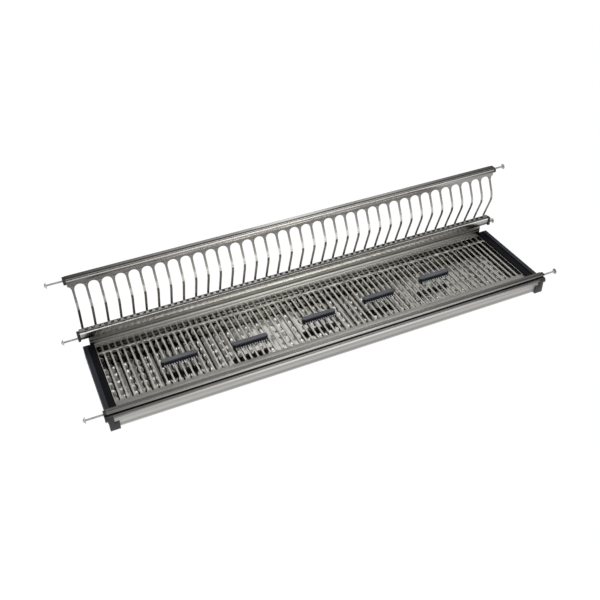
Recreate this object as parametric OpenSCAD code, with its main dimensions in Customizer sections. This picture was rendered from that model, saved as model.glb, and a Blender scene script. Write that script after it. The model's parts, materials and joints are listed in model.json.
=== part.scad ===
// Dish rack for a wall cabinet: plate comb, slotted glass shelf and drip tray.
// X runs along the rails, Y from the front to the wall, Z up.

/* [Rack] */
// Width across the end caps, between the cabinet sides
rack_w = 864; // [620:1:1100]
// Thickness of the rails' end caps
cap_t = 4.5; // [3:0.5:7]
// Depth from the front of the shelf sheet to the back of the top rail
rack_d = 202.8; // [195:0.1:225]
// Height of the shelf over what the rack stands on
shelf_h = 24; // [24:0.5:34]
// Height of the top rail over the shelf
top_h = 150.5; // [142:0.5:175]

/* [Plate comb] */
// Distance from finger to finger
finger_pitch = 23.3; // [18:0.1:30]
// Width of a finger
finger_w = 4.2; // [3:0.1:6]
// Thickness of the comb's sheet
comb_t = 1.2; // [0.8:0.1:1.4]
// Depth of the plain band below the top rail's lip
band_h = 6; // [3:0.5:12]
// How far the fingers bow forward of the band
bow_d = 18.2; // [8:0.1:24]
// Height of the bow, as a share of the fingers' height
bow_share = 0.6; // [0.4:0.01:0.7]
// Radius of the bow
bow_r = 30; // [10:1:40]
// Radius of the comb's small bends
bend_r = 3; // [2:0.5:4]
// Length of the holes in the comb's foot
foot_hole_l = 6.4; // [3:0.1:8]
// Width of the holes in the comb's foot
foot_hole_w = 2.6; // [1.5:0.1:3.4]

/* [Top rail] */
// Depth of the top rail's tube
top_tube_d = 12.6; // [11:0.1:16]
// Height of the top rail's tube
top_tube_h = 11; // [10:0.5:15]
// Wall of the rails
rail_wall = 1.2; // [1:0.1:1.6]
// Width of the slot that takes the comb's upper edge
comb_slot_w = 1.9; // [1.6:0.1:2.4]
// Thickness of the lip in front of the comb
lip_t = 1.4; // [1:0.1:2]
// Height of the lip in front of the comb
lip_h = 6.1; // [5:0.1:8]
// Depth of the groove between the tube and the lip
groove_h = 2.5; // [1.5:0.1:3]

/* [Middle rail] */
// Depth of the middle rail's channel
mid_d = 10; // [9.6:0.1:14]
// Height of the channel's front wall
mid_front_h = 13; // [10:0.5:18]
// Height of the channel's floor over the shelf
mid_floor_h = 24; // [20:0.5:30]
// Radius of the channel's front lip
mid_lip_r = 1.3; // [0.8:0.1:2]
// How far the rail reaches down over the shelf's upstand
skirt_h = 5.5; // [4:0.5:8]

/* [Front rail] */
// Depth of the front rail's tube
front_tube_d = 6.8; // [6.6:0.1:10]
// Height of the front rail over the shelf
front_h = 13.5; // [12.5:0.5:18]
// How far the nose stands forward of the tube
nose_d = 3.2; // [2.6:0.1:5]
// Height of the nose
nose_h = 4.3; // [3:0.1:5]
// Radius of the nose's rounded edge
nose_r = 2.1; // [1:0.1:2.1]

/* [Shelf] */
// Thickness of the shelf's sheet
shelf_t = 1; // [0.8:0.1:1.2]
// Distance from slot to slot
slot_pitch = 11.65; // [10:0.05:16]
// Width of a slot
slot_w = 8.7; // [6:0.1:9]
// Plain strip between the front rail and the long slots
front_strip_d = 23.8; // [12:0.1:50]
// Length of the short slots behind them
short_slot_l = 20.4; // [12:0.1:30]
// Bar between the long and the short slots
bridge_d = 4; // [2:0.5:8]
// Plain strip between the short slots and the upstand
rear_strip_d = 5.4; // [4:0.1:10]
// How much narrower the upstand is than the rails, at each end
upstand_inset = 13.5; // [8:0.5:20]
// Radius of the bead ribs along the upstand
rib_r = 1.6; // [0.8:0.1:2]
// Depth of the shelf's folded front edge
fold_h = 5; // [2:0.5:5.5]
// How far the fold stays off the side runners
fold_inset = 19; // [4:0.5:30]
// Depth of the lips bent down along the long slots
slot_lip_h = 2.4; // [1.2:0.1:4]
// Thickness of those lips
slot_lip_t = 0.8; // [0.5:0.1:0.9]

/* [Side runners] */
// Width of a side runner
runner_w = 15.5; // [14:0.5:20]
// Height of a side runner over the shelf
runner_top_h = 5.7; // [4.5:0.1:9]
// Wall of a side runner
runner_wall = 2.5; // [2:0.1:3]
// Reach of a runner's upper lip over the shelf, past the runner's own width
runner_lip = 4.5; // [1:0.1:5]
// Distance from the front rail to a side runner
runner_setback = 3.4; // [2.2:0.1:20]
// Radius of a side runner's rear end
runner_r = 7; // [3:0.5:9]

/* [Drip tray] */
// Depth of the tray's floor under the shelf
tray_floor_h = 16.4; // [15:0.1:18]
// Thickness of the tray's sheet
tray_t = 0.8; // [0.6:0.1:1]
// Distance from the back of the tray to the shelf's upstand
tray_setback = 1.3; // [1:0.1:50]
// Height of the tray's front face
tray_face_h = 21.5; // [20:0.5:24]
// Radius of the rounded band along the top of the tray's front
tray_band_r = 3.35; // [2.5:0.05:3.4]
// Wall of the tray's front profile
tray_wall = 1.2; // [0.8:0.1:1.6]
// Thickness of the strip at each side that carries the pan
tray_strip_t = 4; // [3:0.1:8]
// Diameter of the round part of a tray cap
tray_cap_dia = 12; // [10:0.5:13]
// Width of a tray cap
tray_cap_w = 13.6; // [10:0.1:20]
// Width of the block under a tray cap
block_w = 17; // [12:0.5:24]
// How far the block reaches below the tray's face
block_drop = 5; // [2:0.5:6]

/* [Glass clips] */
// Length of a clip
clip_l = 70; // [68:1:72]
// Depth of a clip
clip_d = 12; // [10:0.5:16]
// Height of a clip
clip_h = 9.7; // [6:0.1:14]
// Depth of a clip's feet
clip_foot_d = 7; // [5:0.5:9]
// How far the feet reach below the shelf
clip_foot_h = 5.5; // [3:0.5:5.5]
// Distance from tooth to tooth along a clip's front edge
tooth_pitch = 4.4; // [3.5:0.1:6]
// Width of a tooth
tooth_w = 2; // [1.2:0.1:3]
// How far the teeth stand forward
tooth_l = 3; // [1:0.5:5]
// Height of the teeth over the shelf
tooth_h = 2.4; // [1:0.1:4]
// Pairs of feet under a clip
foot_pairs = 3; // [1:1:3]

/* [Fixing screws] */
// Diameter of a screw's shank
screw_dia = 4; // [3.5:0.1:4.2]
// Length of a screw under its head
screw_l = 50; // [45:1:60]
// Diameter of a screw's head
head_dia = 8; // [7:0.5:9]
// Height of a screw's head
head_h = 2.8; // [2:0.1:3.5]
// Diameter of a washer
washer_dia = 11; // [9:0.5:14]
// Thickness of a washer
washer_t = 1.2; // [0.8:0.1:2]
// How far the top left washer stands off its cap
out_left_top = 27; // [5:0.5:32]
// How far the middle left washer stands off its cap
out_left_middle = 25; // [5:0.5:32]
// How far the front left washer stands off its cap
out_left_front = 29; // [5:0.5:32]
// How far the top right washer stands off its cap
out_right_top = 23; // [5:0.5:32]
// How far the middle right washer stands off its cap
out_right_middle = 9; // [5:0.5:32]
// How far the front right washer stands off its cap
out_right_front = 29; // [5:0.5:32]

/* [Hidden] */

// Gap between sheets and the slots that hold them
seat_gap = 0.2;
// Gap between parts that slide past each other
slide_gap = 0.5;
// Gap round the feet of a clip
foot_gap = 0.3;
// Running fit of a screw in its channel, on the radius
screw_fit = 0.05;
// Clearance of a screw in a cap or washer, on the radius
screw_clear = 0.1;
// Wall round a screw channel
channel_wall = 1.2;
// Overrun of every cut
over = 1;
// Degrees of a bend in one step of its outline
bend_step = 8;
$fn = 64;

// Rail ends and heights
rail_l = rack_w - 2 * cap_t;
rail_x = rail_l / 2;
channel_r = screw_dia / 2 + screw_fit;
boss_r = channel_r + channel_wall;

// Front rail: the shelf's sheet starts at its front wall
front_y = -front_tube_d / 2;
front_back_y = front_y + front_tube_d;
front_screw = [front_y + front_tube_d / 2, front_h / 2];
back_y = front_y + rack_d;

// Shelf, from front to back
upstand_y = back_y - top_tube_d;
short_y1 = upstand_y - rear_strip_d;
short_y0 = short_y1 - short_slot_l;
long_y1 = short_y0 - bridge_d;
long_y0 = front_back_y + front_strip_d;
runner_in_x = rail_x - runner_w;
slots_n = floor(2 * runner_in_x / slot_pitch);
upstand_x = rail_x - upstand_inset;

// Middle rail
mid_back_y = upstand_y + shelf_t + seat_gap + rail_wall;
mid_front_y = mid_back_y - mid_d;
mid_in_y = mid_back_y - rail_wall;
mid_slot_y = upstand_y - seat_gap;
mid_screw = [mid_front_y + boss_r + rail_wall, mid_floor_h + rail_wall];
upstand_top = mid_floor_h - seat_gap;

// Top rail
top_tube_y = back_y - top_tube_d;
top_z0 = top_h - top_tube_h;
comb_y = top_tube_y - comb_slot_w / 2;
lip_y = top_tube_y - comb_slot_w - lip_t;
lip_top = top_h - rail_wall;
lip_low = lip_top - lip_h;
web_z = lip_top - groove_h - rail_wall;
top_screw = [top_tube_y + top_tube_d / 2, top_z0 + top_tube_h / 2];

// Comb
comb_top = web_z - seat_gap;
arch_r = (finger_pitch - finger_w) / 2;
arch_top = lip_low - band_h;
gaps_n = floor(rail_l / finger_pitch);
finger_foot_y = mid_in_y - seat_gap - comb_t / 2;
foot_top = mid_floor_h + mid_front_h + bend_r + mid_lip_r;
foot_low = mid_screw[1] + boss_r + seat_gap;
band_low = arch_top - bend_r;
bow_h = foot_top + bow_share * (band_low - foot_top);
foot_drop = finger_foot_y - mid_front_y - 2 * mid_lip_r - comb_t;
comb_path = [[comb_y, comb_top],
             [comb_y, band_low],
             [comb_y - bow_d, bow_h],
             [finger_foot_y, foot_top + bend_r],
             [finger_foot_y, foot_top],
             [finger_foot_y - foot_drop, foot_top - foot_drop],
             [finger_foot_y - foot_drop, foot_low]];
comb_bends = [bend_r, bow_r, bend_r, bend_r, bend_r];
foot_hole_y = finger_foot_y - foot_drop / 2;

// Tray, hung in the runners' grooves
groove_top = -shelf_t - seat_gap - runner_wall;
tongue_top = groove_top - slide_gap;
tongue_h = runner_wall + rail_wall;
groove_low = tongue_top - tongue_h - slide_gap;
strip_x = runner_in_x - slide_gap;
pan_x = strip_x - tray_strip_t / 2;
pan_groove_x = pan_x + seat_gap;
rim_top = tongue_top - tongue_h;
face_y = front_y - slide_gap - 2 * tray_band_r;
face_top = tray_band_r;
face_low = face_top - tray_face_h;
pan_y0 = face_y + tray_wall + seat_gap;
pan_y1 = upstand_y - tray_setback;
pan_rim_y = upstand_y - seat_gap;
floor_z = -tray_floor_h;
cap_front_y = face_y - tray_wall;
tray_cap_x = rack_w / 2;
tray_front_x = tray_cap_x - tray_cap_w;
cap_back_y = front_y - slide_gap;
cap_mid = [cap_front_y + tray_cap_dia / 2, tray_wall];

// Clips: places as shares of the slotted width and of the slots' length
clip_x_shares = [0.157, 0.314, 0.486, 0.643, 0.8];
clip_y_shares = [0.42, 0.33, 0.41, 0.45, 0.52];
clip_foot_w = slot_w - 2 * foot_gap;

// Screws and washers, in the order top, middle, front
screw_axes = [top_screw, mid_screw, front_screw];
outs_left = [out_left_top, out_left_middle, out_left_front];
outs_right = [out_right_top, out_right_middle, out_right_front];
recess_w = head_dia / 8;
recess_l = head_dia / 2;
recess_h = head_h / 2;
tip_l = screw_dia;

// The frame of the whole part has its origin under the middle of its box
middle_y = (cap_front_y + back_y) / 2;

steel = [0.62, 0.61, 0.58];
satin = [0.72, 0.71, 0.69];
black = [0.10, 0.10, 0.12];
navy = [0.28, 0.31, 0.38];
zinc = [0.68, 0.68, 0.66];

// Left normal of a heading in degrees
function side_of(a) = [-sin(a), cos(a)];
// Heading from one point to the next
function heading(p, q) = atan2(q[1] - p[1], q[0] - p[0]);
// Signed turn from heading a to heading b
function turn(a, b) = (b - a + 540) % 360 - 180;
// Points and headings round one bend of radius r
function bend(p, v, q, r) =
    let (a = heading(p, v), t = turn(a, heading(v, q)), s = sign(t),
         start = v - r * tan(abs(t) / 2) * [cos(a), sin(a)],
         mid = start + s * r * side_of(a),
         n = ceil(abs(t) / bend_step))
    [for (i = [0 : n]) let (h = a + t * i / n) [mid - s * r * side_of(h), h]];
// Middle line of a bent sheet: its ends and every point of its bends
function middle_line(path, radii) =
    let (last = len(path) - 1)
    concat([[path[0], heading(path[0], path[1])]],
           [for (i = [1 : last - 1]) each bend(path[i - 1], path[i], path[i + 1], radii[i - 1])],
           [[path[last], heading(path[last - 1], path[last])]]);

// Section of a bent sheet of thickness t
module sheet_section(path, radii, t) {
    line = middle_line(path, radii);
    front = [for (p = line) p[0] + t / 2 * side_of(p[1])];
    back = [for (i = [len(line) - 1 : -1 : 0]) line[i][0] - t / 2 * side_of(line[i][1])];
    polygon(concat(front, back));
}

// Rectangle given by two corners
module block_2d(p, q) {
    translate(p) square(q - p);
}

// Rectangle given by two corners, with its corners rounded
module round_2d(p, q, r) {
    block_2d(p + [r, 0], q - [r, 0]);
    block_2d(p + [0, r], q - [0, r]);
    for (x = [p[0] + r, q[0] - r], y = [p[1] + r, q[1] - r]) translate([x, y]) circle(r = r);
}

// Slot with round ends between two corners, its length along y
module slot_2d(p, q) {
    r = (q[0] - p[0]) / 2;
    block_2d(p + [0, r], q - [0, r]);
    for (y = [p[1] + r, q[1] - r]) translate([p[0] + r, y]) circle(r = r);
}

// Section in Y and Z drawn out along X
module along_x(x0, x1) {
    translate([x0, 0, 0]) rotate([90, 0, 90]) linear_extrude(height = x1 - x0) children();
}

// Section in X and Z drawn out along Y
module along_y(y0, y1) {
    translate([0, y1, 0]) rotate([90, 0, 0]) linear_extrude(height = y1 - y0) children();
}

// Puts a sub-part into the frame of the whole part
module placed() {
    translate([0, -middle_y, shelf_h]) children();
}

// The same shape on the left, turned over from the right
module on_left() {
    mirror([1, 0, 0]) children();
}

module top_section() {
    difference() {
        round_2d([top_tube_y, top_z0], [back_y, top_h], rail_wall);
        block_2d([top_tube_y + rail_wall, top_z0 + rail_wall], [back_y - rail_wall, top_h - rail_wall]);
    }
    difference() {
        union() {
            translate(top_screw) circle(r = boss_r);
            block_2d([top_screw[0] - rail_wall, top_z0], top_screw);
        }
        translate(top_screw) circle(r = channel_r);
    }
    block_2d([lip_y, web_z], [top_tube_y + rail_wall / 2, web_z + rail_wall]);
    block_2d([lip_y, lip_low], [lip_y + lip_t, lip_top - lip_t / 2]);
    translate([lip_y + lip_t / 2, lip_top - lip_t / 2]) circle(d = lip_t);
}

module top_rail() {
    color(steel) along_x(-rail_x, rail_x) top_section();
}

module comb_gaps() {
    for (i = [-1 : gaps_n]) translate([(i - (gaps_n - 1) / 2) * finger_pitch, 0]) {
        block_2d([-arch_r, foot_top], [arch_r, arch_top - arch_r]);
        translate([0, arch_top - arch_r]) circle(r = arch_r);
    }
}

module foot_holes() {
    n = 2 * gaps_n;
    for (i = [0 : n - 1]) translate([(i - (n - 1) / 2) * finger_pitch / 2, foot_hole_y]) {
        block_2d([-foot_hole_l + foot_hole_w, -foot_hole_w] / 2, [foot_hole_l - foot_hole_w, foot_hole_w] / 2);
        for (s = [-1, 1]) translate([s * (foot_hole_l - foot_hole_w) / 2, 0]) circle(d = foot_hole_w);
    }
}

module plate_comb() {
    color(steel) difference() {
        along_x(-rail_x + seat_gap, rail_x - seat_gap) sheet_section(comb_path, comb_bends, comb_t);
        along_y(comb_y - bow_d - over, back_y) comb_gaps();
        translate([0, 0, foot_low + comb_t]) linear_extrude(height = foot_top - foot_low) foot_holes();
    }
}

module middle_section() {
    block_2d([mid_front_y, mid_floor_h], [mid_front_y + rail_wall, mid_floor_h + mid_front_h - mid_lip_r]);
    translate([mid_front_y + mid_lip_r, mid_floor_h + mid_front_h - mid_lip_r]) circle(r = mid_lip_r);
    block_2d([mid_front_y, mid_floor_h], [mid_back_y, mid_floor_h + rail_wall]);
    block_2d([mid_slot_y - rail_wall, mid_floor_h - skirt_h], [mid_slot_y, mid_floor_h + rail_wall]);
    block_2d([mid_in_y, mid_floor_h - skirt_h], [mid_back_y, mid_floor_h + mid_front_h + rail_wall]);
    translate(mid_screw) circle(r = boss_r);
}

module middle_rail() {
    color(steel) along_x(-rail_x, rail_x) difference() {
        middle_section();
        translate(mid_screw) circle(r = channel_r);
    }
}

module front_section() {
    difference() {
        block_2d([front_y, 0], [front_back_y, front_h]);
        block_2d([front_y + rail_wall, rail_wall], [front_back_y - rail_wall, front_h - rail_wall]);
    }
    block_2d([front_y - nose_d + nose_r, front_h - rail_wall], [front_back_y, front_h]);
    translate([front_y - nose_d + nose_r, front_h - nose_r]) circle(r = nose_r);
    block_2d([front_y - nose_d, front_h - nose_h], [front_y - nose_d + rail_wall, front_h - nose_r]);
    translate(front_screw) circle(r = boss_r);
}

module front_rail() {
    color(steel) along_x(-rail_x, rail_x) difference() {
        front_section();
        translate(front_screw) circle(r = channel_r);
    }
}

// End caps are drawn on the right-hand end, each with a hole for its screw
module top_cap() {
    color(black) along_x(rail_x, rail_x + cap_t) difference() {
        union() {
            round_2d([top_tube_y - seat_gap, top_z0 - seat_gap], [back_y, top_h], 2 * rail_wall);
            round_2d([lip_y, lip_low - lip_t], [top_tube_y + 2 * lip_t, lip_top], lip_t);
        }
        translate(top_screw) circle(r = screw_dia / 2 + screw_clear);
    }
}

module middle_cap() {
    color(black) along_x(rail_x, rail_x + cap_t) difference() {
        round_2d([mid_front_y - rail_wall, mid_floor_h - skirt_h + rail_wall],
                 [mid_back_y, mid_floor_h + mid_front_h + rail_wall], 2 * rail_wall);
        translate(mid_screw) circle(r = screw_dia / 2 + screw_clear);
    }
}

module front_cap() {
    color(black) along_x(rail_x, rail_x + cap_t) difference() {
        union() {
            round_2d([front_y - nose_d, front_h - nose_h], [front_back_y, front_h], nose_r);
            block_2d([front_y, 0], [front_back_y, front_h - nose_r]);
        }
        translate(front_screw) circle(r = screw_dia / 2 + screw_clear);
    }
}

// Bars of the shelf left between its long and short slots
module shelf_plate() {
    edge_x = rail_x - runner_wall - seat_gap;
    difference() {
        block_2d([-edge_x, front_y], [edge_x, upstand_y + shelf_t]);
        for (i = [0 : slots_n - 1]) translate([(i - (slots_n - 1) / 2) * slot_pitch, 0]) {
            slot_2d([-slot_w / 2, long_y0], [slot_w / 2, long_y1]);
            slot_2d([-slot_w / 2, short_y0], [slot_w / 2, short_y1]);
        }
    }
}

// Rear upstand with its two bead ribs
module upstand_section() {
    block_2d([upstand_y, -shelf_t], [upstand_y + shelf_t, upstand_top]);
    for (i = [1, 2]) translate([upstand_y + shelf_t / 2, i * (mid_floor_h - skirt_h) / 3]) circle(r = rib_r);
}

module slot_lips() {
    for (i = [1 : slots_n - 1], s = [-1, 1])
        translate([(i - slots_n / 2) * slot_pitch + s * (slot_pitch - slot_w - slot_lip_t) / 2, 0])
            block_2d([-slot_lip_t / 2, long_y0 + slot_w / 2], [slot_lip_t / 2, long_y1 - slot_w / 2]);
}

// Slotted sheet with its upstand, a front fold and a rear stop just over the pan's back wall
module glass_shelf() {
    color(steel) {
        translate([0, 0, -slot_lip_h]) linear_extrude(height = slot_lip_h - shelf_t / 2) slot_lips();
        translate([0, 0, -shelf_t]) linear_extrude(height = shelf_t) shelf_plate();
        along_x(-upstand_x, upstand_x) upstand_section();
        along_x(-runner_in_x + fold_inset, runner_in_x - fold_inset)
            block_2d([front_y, -fold_h], [front_y + shelf_t, 0]);
        along_x(-runner_in_x + seat_gap, runner_in_x - seat_gap)
            block_2d([upstand_y, rim_top + seat_gap], [upstand_y + shelf_t, 0]);
    }
}

// Section of the right-hand runner: shelf groove above, tray groove below
module runner_section() {
    out_x = rail_x;
    in_x = runner_in_x;
    step_x = (in_x + out_x) / 2;
    block_2d([out_x - runner_wall, -shelf_h], [out_x, runner_top_h]);
    block_2d([step_x, runner_top_h - runner_wall], [out_x, runner_top_h]);
    block_2d([in_x - runner_lip, seat_gap], [step_x + runner_wall, runner_top_h - runner_wall]);
    block_2d([in_x, groove_top], [out_x, groove_top + runner_wall]);
    block_2d([in_x, groove_low - runner_wall], [out_x, groove_low]);
    block_2d([in_x, -shelf_h], [out_x, -shelf_h + runner_wall]);
}

module side_runner() {
    y0 = front_back_y + runner_setback;
    y1 = upstand_y;
    color(black) intersection() {
        along_y(y0, y1) runner_section();
        along_x(0, rack_w) {
            block_2d([y0, -shelf_h], [y1, runner_top_h - runner_r]);
            block_2d([y0, -shelf_h], [y1 - runner_r, runner_top_h]);
            translate([y1 - runner_r, runner_top_h - runner_r]) circle(r = runner_r);
        }
    }
}

// Floor sheet held in the side strips' grooves
module tray_pan() {
    color(satin) translate([-pan_x, pan_y0, floor_z - tray_t]) cube([2 * pan_x, pan_y1 - pan_y0, tray_t]);
}

// Rear wall that stands on the floor sheet, with a rim that covers the gap behind it
module tray_rear() {
    wall_x = strip_x - tray_strip_t - seat_gap;
    color(satin) along_x(-wall_x, wall_x) {
        block_2d([pan_y1 - tray_t, floor_z], [pan_y1, rim_top]);
        block_2d([pan_y1 - tray_t, rim_top - tray_t], [pan_rim_y, rim_top]);
    }
}

module tray_front_section() {
    mid = [face_y + tray_band_r, face_top];
    difference() {
        translate(mid) circle(r = tray_band_r);
        translate(mid) circle(r = tray_band_r - tray_wall);
        block_2d([face_y - over, face_low], mid + [tray_band_r + over, 0]);
    }
    block_2d([face_y, face_low], [face_y + tray_wall, face_top]);
    block_2d(mid + [tray_band_r - tray_wall, -tray_band_r], mid + [tray_band_r, 0]);
    translate([face_y + tray_wall / 2, face_top]) circle(r = tray_wall);
}

module tray_front() {
    color(satin) along_x(-tray_front_x, tray_front_x)
        tray_front_section();
}

// Right-hand strip: its tongue runs in the runner's groove, and its own groove takes the pan
module tray_strip() {
    low = floor_z - tray_t - seat_gap;
    color(black) along_y(cap_back_y, pan_y1) difference() {
        union() {
            block_2d([strip_x - tray_strip_t, low - tray_wall], [strip_x, tongue_top]);
            block_2d([strip_x - tray_wall, rim_top], [rail_x - runner_wall - slide_gap, tongue_top]);
        }
        block_2d([strip_x - tray_strip_t - over, low], [pan_groove_x, floor_z + seat_gap]);
    }
}

// Right-hand cap of the tray's front: a round end over a block that wraps the corner
module tray_cap() {
    x0 = tray_front_x;
    block_x1 = rail_x;
    low = face_low - block_drop;
    color(black) {
        along_x(x0, tray_cap_x) intersection() {
            translate(cap_mid) circle(d = tray_cap_dia);
            block_2d([cap_front_y, low], [cap_back_y, tray_cap_dia]);
        }
        along_x(x0, block_x1) block_2d([cap_front_y, low], [cap_back_y, 0]);
        along_x(block_x1 - block_w, block_x1) {
            block_2d([cap_front_y, low], [face_y, face_low + tray_face_h / 2]);
            block_2d([cap_front_y, low], [cap_back_y, face_low]);
        }
    }
}

// Clip that stands across six bars of the shelf, its feet in the slots
module glass_clip(i) {
    x = (round(clip_x_shares[i] * slots_n) - slots_n / 2) * slot_pitch;
    y = long_y0 + clip_y_shares[i] * (long_y1 - long_y0);
    r = clip_d / 2;
    color(navy) translate([x, y, 0]) {
        translate([0, 0, foot_gap]) linear_extrude(height = clip_h - foot_gap) {
            block_2d([r - clip_l / 2, -r], [clip_l / 2 - r, r]);
            for (s = [-1, 1]) translate([s * (clip_l / 2 - r), 0]) circle(r = r);
        }
        teeth = floor((clip_l - clip_d) / tooth_pitch);
        for (k = [0 : teeth]) translate([(k - teeth / 2) * tooth_pitch, -r, foot_gap])
            linear_extrude(height = tooth_h - foot_gap)
                block_2d([-tooth_w / 2, -tooth_l], [tooth_w / 2, over]);
        for (k = [0 : 2 * foot_pairs - 1]) translate([(k - foot_pairs + 1 / 2) * slot_pitch, 0, -clip_foot_h])
            linear_extrude(height = clip_foot_h + foot_gap)
                block_2d([-clip_foot_w, -clip_foot_d] / 2, [clip_foot_w, clip_foot_d] / 2);
    }
}

// Turns a screw or washer drawn along +Z to stand out of the right-hand cap
module off_cap(axis, out) {
    translate([rack_w / 2 + out, axis[0], axis[1]]) rotate([0, 90, 0]) children();
}

// Screw with its washer's outer face at the drawing's origin
module screw(axis, out) {
    r = head_dia / 2;
    dome = (r * r + head_h * head_h) / (2 * head_h);
    color(zinc) off_cap(axis, out + washer_t) {
        difference() {
            intersection() {
                translate([0, 0, head_h - dome]) sphere(r = dome);
                cylinder(r = r, h = head_h);
            }
            for (a = [0, 90]) rotate([0, 0, a]) translate([-recess_w / 2, -recess_l / 2, head_h - recess_h])
                cube([recess_w, recess_l, recess_h + over]);
        }
        translate([0, 0, tip_l - screw_l]) cylinder(d = screw_dia, h = screw_l - tip_l);
        translate([0, 0, -screw_l]) cylinder(d1 = 0, d2 = screw_dia, h = tip_l);
    }
}

module washer(axis, out) {
    color(zinc) off_cap(axis, out) difference() {
        cylinder(d = washer_dia, h = washer_t);
        translate([0, 0, -over]) cylinder(r = screw_dia / 2 + screw_clear, h = washer_t + 2 * over);
    }
}

placed() top_rail();
placed() on_left() top_cap();  // top_cap_left
placed() top_cap();  // top_cap_right
placed() plate_comb();
placed() middle_rail();
placed() on_left() middle_cap();  // middle_cap_left
placed() middle_cap();  // middle_cap_right
placed() glass_shelf();
placed() front_rail();
placed() on_left() front_cap();  // front_cap_left
placed() front_cap();  // front_cap_right
placed() on_left() side_runner();  // side_runner_left
placed() side_runner();  // side_runner_right
placed() tray_pan();
placed() tray_rear();
placed() tray_front();
placed() on_left() tray_strip();  // tray_strip_left
placed() tray_strip();  // tray_strip_right
placed() on_left() tray_cap();  // tray_cap_left
placed() tray_cap();  // tray_cap_right
placed() glass_clip(0);  // glass_clip_1
placed() glass_clip(1);  // glass_clip_2
placed() glass_clip(2);  // glass_clip_3
placed() glass_clip(3);  // glass_clip_4
placed() glass_clip(4);  // glass_clip_5
placed() on_left() screw(screw_axes[0], outs_left[0]);  // screw_left_top
placed() on_left() screw(screw_axes[1], outs_left[1]);  // screw_left_middle
placed() on_left() screw(screw_axes[2], outs_left[2]);  // screw_left_front
placed() screw(screw_axes[0], outs_right[0]);  // screw_right_top
placed() screw(screw_axes[1], outs_right[1]);  // screw_right_middle
placed() screw(screw_axes[2], outs_right[2]);  // screw_right_front
placed() on_left() washer(screw_axes[0], outs_left[0]);  // washer_left_top
placed() on_left() washer(screw_axes[1], outs_left[1]);  // washer_left_middle
placed() on_left() washer(screw_axes[2], outs_left[2]);  // washer_left_front
placed() washer(screw_axes[0], outs_right[0]);  // washer_right_top
placed() washer(screw_axes[1], outs_right[1]);  // washer_right_middle
placed() washer(screw_axes[2], outs_right[2]);  // washer_right_front
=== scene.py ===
"""Looks of the cabinet dish rack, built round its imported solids."""

import json
import logging
import math
from dataclasses import dataclass, replace
from enum import Enum
from typing import Callable, Dict, List, Optional, Sequence, Tuple, Union

import bmesh
import bpy
from mathutils import Matrix, Vector

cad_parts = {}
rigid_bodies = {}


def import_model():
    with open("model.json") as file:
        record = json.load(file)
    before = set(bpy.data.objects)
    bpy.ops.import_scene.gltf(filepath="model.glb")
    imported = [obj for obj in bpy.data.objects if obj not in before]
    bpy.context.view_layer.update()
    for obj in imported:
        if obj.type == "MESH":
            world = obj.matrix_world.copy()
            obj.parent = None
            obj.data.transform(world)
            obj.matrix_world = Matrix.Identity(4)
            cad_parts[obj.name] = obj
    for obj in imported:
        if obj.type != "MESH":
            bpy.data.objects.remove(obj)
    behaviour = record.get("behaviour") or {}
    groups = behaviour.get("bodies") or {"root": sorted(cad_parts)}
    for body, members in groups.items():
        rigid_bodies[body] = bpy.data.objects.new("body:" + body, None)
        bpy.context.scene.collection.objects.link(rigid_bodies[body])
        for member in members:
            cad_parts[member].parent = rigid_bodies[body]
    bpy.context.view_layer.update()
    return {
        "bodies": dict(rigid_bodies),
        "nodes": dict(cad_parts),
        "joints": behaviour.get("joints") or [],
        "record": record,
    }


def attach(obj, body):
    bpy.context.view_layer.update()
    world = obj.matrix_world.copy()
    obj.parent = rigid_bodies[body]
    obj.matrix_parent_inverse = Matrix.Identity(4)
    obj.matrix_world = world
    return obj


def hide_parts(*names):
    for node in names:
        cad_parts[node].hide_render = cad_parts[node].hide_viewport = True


logging.basicConfig(level=logging.INFO, format="%(message)s")
log = logging.getLogger("dish_rack")

Colour = Tuple[float, float, float]
Point = Tuple[float, float, float]
Stops = Tuple[Tuple[float, float], ...]
Socket = bpy.types.NodeSocket
Tree = bpy.types.NodeTree
Shape = bmesh.types.BMesh

MM = 0.001
# Points closer than this count as one height or one place.
NEAR = 0.1 * MM
# Corners closer than this are joined, and faces flatter than this many degrees become one.
WELD = 0.001 * MM
FLAT_ANGLE = 0.5
# Parts of a noise's range that are mapped onto two tones and onto a range of values.
TONE_SPAN = (0.25, 0.75)
NOISE_SPAN = (0.2, 0.8)
# Middle of a noise's range.
NOISE_MIDDLE = 0.5
# Steps of the rounding of a plastic end piece.
CAP_STEPS = 3


class Grain(Enum):
    """Direction in which a steel surface was brushed."""

    ALONG_RAIL = "x"
    UPRIGHT = "z"


class End(Enum):
    """One end of the rack, seen from the front."""

    LEFT = -1
    RIGHT = 1

    @property
    def label(self) -> str:
        """The end's part of a node's name."""
        return self.name.lower()


class Rail(Enum):
    """The three rails that take a fixing screw at each end."""

    TOP = "top"
    MIDDLE = "middle"
    FRONT = "front"


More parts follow.
